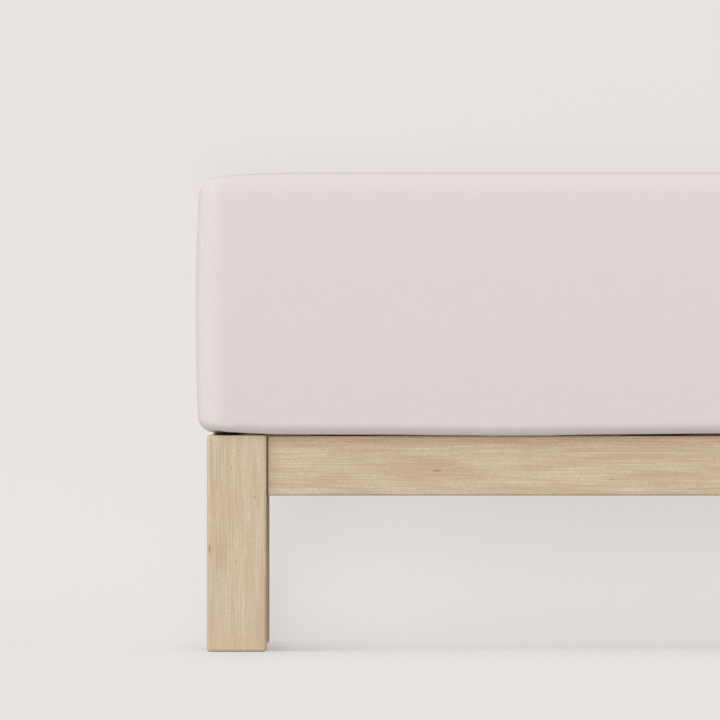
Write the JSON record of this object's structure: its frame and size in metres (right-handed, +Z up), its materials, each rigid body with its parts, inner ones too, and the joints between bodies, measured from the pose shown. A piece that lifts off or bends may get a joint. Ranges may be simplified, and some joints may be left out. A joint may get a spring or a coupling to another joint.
{
  "type": "fitted sheet on a mattress and bed frame",
  "caption": "Fitted bed sheet stretched smooth over a thick single mattress, which lies on a low wooden bed frame with square legs and a slatted base.",
  "frame": {"origin": "on the floor, under the middle of the bed", "axes": "+X along the bed's length, +Z up, and the long side that faces the viewer looks along -Y"},
  "size_m": [2.006, 0.906, 0.4834],
  "materials": {
    "sheet_cloth": "matt fine cotton, pale blush white",
    "mattress_cover": "matt knitted cover, off-white",
    "frame_wood": "light, fine-grained, matt oiled",
    "slat_wood": "plain sanded"
  },
  "bodies": {
    "root": {"fitted_sheet": "sheet_cloth", "mattress": "mattress_cover", "leg_front_left": "frame_wood", "leg_front_right": "frame_wood", "leg_back_left": "frame_wood", "leg_back_right": "frame_wood", "rail_front": "frame_wood", "rail_back": "frame_wood", "rail_left": "frame_wood", "rail_right": "frame_wood", "ledger_front": "slat_wood", "ledger_back": "slat_wood", "slat_01": "slat_wood", "slat_02": "slat_wood", "slat_03": "slat_wood", "slat_04": "slat_wood", "slat_05": "slat_wood", "slat_06": "slat_wood", "slat_07": "slat_wood", "slat_08": "slat_wood", "slat_09": "slat_wood", "slat_10": "slat_wood", "slat_11": "slat_wood", "slat_12": "slat_wood"}
  },
  "joints": []
}
